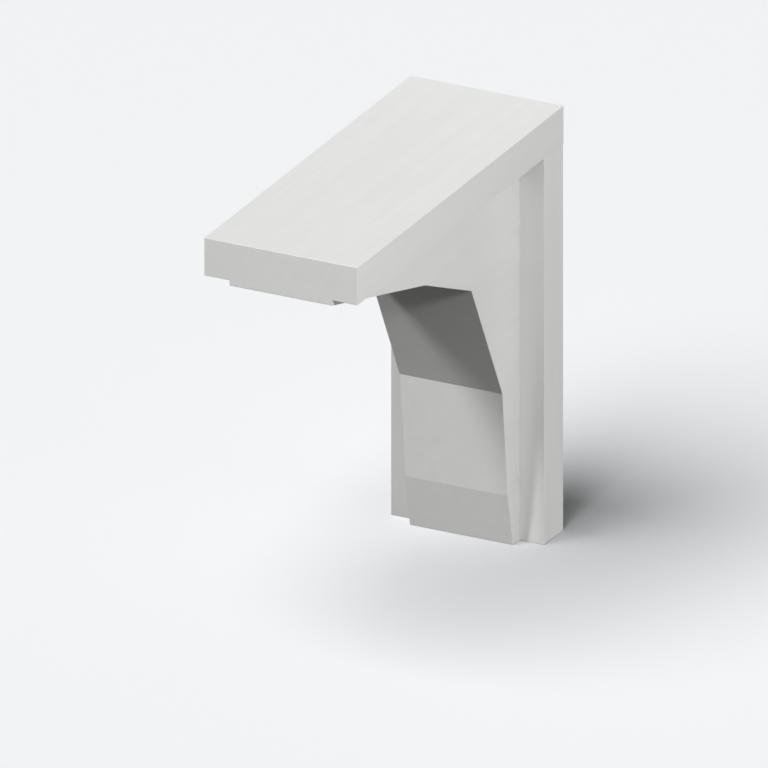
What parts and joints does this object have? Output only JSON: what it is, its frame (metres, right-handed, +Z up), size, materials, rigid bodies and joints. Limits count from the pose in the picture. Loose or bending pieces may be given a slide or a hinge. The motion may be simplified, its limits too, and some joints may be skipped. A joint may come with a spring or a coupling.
{
  "type": "countertop bracket",
  "caption": "Right-angled bracket for an overhanging worktop: a flat top plate, a back plate against the wall and a thick brace between them, its edge planed in flats.",
  "frame": {"origin": "middle of the bracket's back, in the plane of the wall and half way up", "axes": "+Y into the wall, so that the arm reaches out along -Y; +Z up, towards the worktop; +X across the bracket"},
  "size_m": [0.1132, 0.3048, 0.3048],
  "materials": {
    "white_painted_wood": "satin white paint over sanded and filled wood"
  },
  "bodies": {
    "root": {"top_plate": "white_painted_wood", "back_plate": "white_painted_wood", "brace": "white_painted_wood"}
  },
  "joints": []
}
